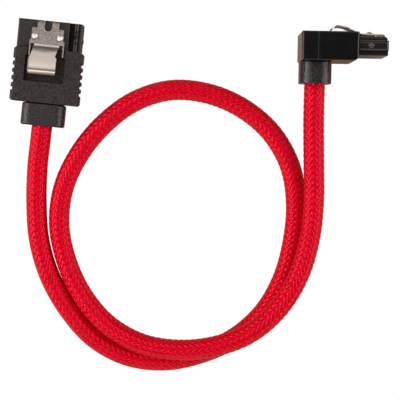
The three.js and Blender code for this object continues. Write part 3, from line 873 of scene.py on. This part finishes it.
def nose_plastic():
    finish = Finish("nose_plastic")
    where = finish.where()
    across, _, _ = in_plug(finish, STRAIGHT_PLUG, STRAIGHT_TURN)
    polish_and_highlight = step_at(finish, across, FLAT_END)
    clouds = finish.noise(where, FINE_CLOUDS, 3.0)
    satin = finish.blend(clouds, colour(24, 21, 20), colour(35, 30, 29))
    # Painted highlights: broken light lines along the rail's two edges, in the lighter colour of
    # the groove's blend.
    painted_highlight = finish.narrow_band(across, RAIL_START) + finish.narrow_band(across, RAIL_RIDGE)
    unbroken = step_at(finish, finish.noise(where, LINE_BREAK_SCALE), LINE_SHOWN_ABOVE, LINE_BREAK_BLUR)
    edge_highlights = painted_highlight * unbroken
    groove = finish.blend(edge_highlights, colour(9, 8, 7), colour(98, 90, 86))
    flank = step_at(finish, across, RAIL_FLANK)
    finish.paint(
        # The rail's outer flank is painted a warmer brown: painted reflection of warm light.
        Base_Color=finish.blend(flank, finish.blend(polish_and_highlight, satin, groove), colour(40, 32, 29)),
        Metallic=0.8 * polish_and_highlight * (1 - flank),
        Roughness=0.42,
        Normal=finish.relief(clouds, 0.006 * MM),
    )
    print("nose nodes:", len(finish.tree.nodes))
    return finish.material


# %% [markdown]
# ## The right-angle plug
# Its body comes from a polished mould and is nearly black, so it shows the lamps in its edges
# and little else. Where its two halves meet, a thin light line is painted on: a painted
# highlight like the one that the edges of the seam catch. On the side of its nose, a small
# friction bump gets a grey painted highlight: the distance from the bump's middle, worked out
# with shader maths, tells the highlit spot from the rest.


# %% Polish the right-angle body
SEAM_AT = 14.25 * MM  # behind the mating face
SEAM_HALF = 0.12 * MM


def body_plastic():
    finish = Finish("body_plastic")
    where = finish.where()
    along, _, _ = in_plug(finish, ANGLE_PLUG, ANGLE_TURN)
    # A painted highlight: a thin light line along the seam between the body's halves.
    seam_highlight = finish.narrow_band(along, -SEAM_AT, SEAM_HALF)
    clouds = finish.noise(where, FINE_CLOUDS)
    finish.paint(
        Base_Color=finish.blend(seam_highlight, colour(5, 4, 4), colour(40, 37, 36)),
        Roughness=0.17 + 0.06 * clouds,
        Normal=finish.relief(clouds, 0.004 * MM),
    )
    print(f"a seam {SEAM_AT / MM:.2f} mm behind the mating face")
    return finish.material


# %% Paint a highlight on the right-angle plug's friction bump
BUMP_BEHIND = 3.6 * MM  # how far it is behind the mating face
BUMP_HEIGHT = 3.15 * MM  # towards the latch, from the plain face
BUMP_REACH = 0.42 * MM
BUMP_BLUR = 0.25 * MM


def angle_nose_plastic():
    finish = Finish("angle_nose_plastic", Roughness=0.24, Specular_IOR_Level=0.6)
    along, height, _ = in_plug(finish, ANGLE_PLUG, ANGLE_TURN)
    behind = along + BUMP_BEHIND
    above = height - BUMP_HEIGHT
    away = (behind * behind + above * above).root()
    # A painted highlight: the friction bump's spot is painted a lighter grey.
    painted_highlight = 1 - step_at(finish, away, BUMP_REACH, BUMP_BLUR)
    finish.paint(Base_Color=finish.blend(painted_highlight, colour(15, 14, 14), colour(72, 71, 71)))
    print(f"a bump rubbed {2 * BUMP_REACH / MM:.2f} mm wide")
    return finish.material


# %% [markdown]
# ## Steel and brass
# Rolled strip is bright with a fine, soft grain, on the springs of the contacts as well as on
# the latches. A metal has no base colour under its gloss: what the colour sets is the tint of
# its reflections, and the grain varies that and the roughness together. Its pits get a darker
# tint, painted shade.


# %% Give the metals their grain
STEEL = colour(214, 203, 195)
BRASS = colour(226, 190, 120)
# The darker tint paints shade into the pits of the grain.
METAL_PIT_SHADE = 0.8  # of the metal's own tone


def metal(name, base, roughness, grain_size, grain_depth):
    finish = Finish(name, Metallic=1.0)
    where = finish.where()
    grain = finish.noise(where, 1 / grain_size, 3.0)
    pit_shade = tuple(share * METAL_PIT_SHADE for share in base[:3]) + (1,)
    finish.paint(
        Base_Color=finish.blend(grain, pit_shade, base),
        Roughness=roughness - 0.08 + 0.16 * grain,
        Normal=finish.relief(grain, grain_depth),
    )
    print(f"{name}: a grain of {grain_size / MM:.2f} mm")
    return finish.material


spring_steel = metal(
    "spring_steel", STEEL, roughness=0.3, grain_size=0.3 * MM, grain_depth=0.004 * MM
)
contact_brass = metal(
    "contact_brass", BRASS, roughness=0.25, grain_size=0.4 * MM, grain_depth=0.004 * MM
)

# %% [markdown]
# ## The straight plug's latch
# This latch shows its plate from above, and the plate is duller than the tab: the stamping left
# it with a fine pebbled grain, and so it did on the two legs beside the tab. The plate's steel is
# also painted darker than the tab's, as painted shade, and more so in the pits of the pebbles.
# Its two locking dimples get a painted highlight on top. The pebbles fade out where the tab
# begins, because the same mask feeds the colour, the roughness and the relief.

# %% Grain the latch's plate
PLATE_END = 5.05 * MM  # behind the mating face
PEBBLE_SIZE = 0.42 * MM
DIMPLES_AT = (-3.09 * MM, 2.21 * MM)  # across, from the plug's middle
DIMPLES_BEHIND = 3.4 * MM  # how far they are behind the mating face
DIMPLE_SIZE = 0.58 * MM


def latch_steel():
    finish = Finish("latch_steel", Metallic=1.0)
    where = finish.where()
    across, along, _ = in_plug(finish, STRAIGHT_PLUG, STRAIGHT_TURN)
    legs = step_at(finish, abs(across - LATCH_MIDDLE), TAB_HALF)
    plate = step_at(finish, along, -PLATE_END)
    plate = plate.math("MAXIMUM", plate, legs)
    pebbles = finish.noise(where, 1 / PEBBLE_SIZE, 3.0)
    pits = 0.5 + 1.8 * (pebbles - 0.5)
    # The plate's steel is painted darker than the tab's: painted shade, deeper in the pebbles'
    # pits.
    shaded_plate = finish.blend(pits, colour(124, 117, 114), colour(186, 178, 173))
    behind = along + DIMPLES_BEHIND
    # Painted highlights on top of the two dimples.
    polish_and_highlight = 0
    for place in DIMPLES_AT:
        beside = across - place
        away = (behind * behind + beside * beside).root()
        polish_and_highlight = polish_and_highlight + 1 - step_at(finish, away, DIMPLE_SIZE)
    painted_highlight = finish.blend(polish_and_highlight, shaded_plate, colour(250, 246, 243))
    finish.paint(
        Base_Color=finish.blend(plate, STEEL, painted_highlight),
        Roughness=0.3 + 0.18 * plate,
        Normal=finish.relief(pits * plate, 0.03 * MM),
    )
    print("latch nodes:", len(finish.tree.nodes))
    return finish.material


# %% [markdown]
# ## Handing out the finishes
# Each softened piece gets its finish. The contacts sit deep in their slots and are small, so
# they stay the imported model's own objects, and only their material is changed.


# %% Hand out the finishes
def finish_piece(piece, material):
    piece.data.materials.clear()
    piece.data.materials.append(material)


glossy_body = body_plastic()
FINISHES = {
    "straight_housing": nose_plastic(),
    "angle_housing": angle_nose_plastic(),
    "straight_shell": grip_plastic,
    "angle_front_shell": glossy_body,
    "angle_rear_cap": glossy_body,
    "straight_strain_relief": boot_plastic,
    "angle_strain_relief": shaded_boot_plastic,
    "straight_latch": latch_steel(),
    "angle_latch": spring_steel,
}
for name, material in FINISHES.items():
    finish_piece(soft[name], material)
contacts = [node for name, node in frame["nodes"].items() if "contact" in name]
for node in contacts:
    finish_piece(node, contact_brass)
print(f"{len(FINISHES)} softened pieces and {len(contacts)} contacts have their finish")
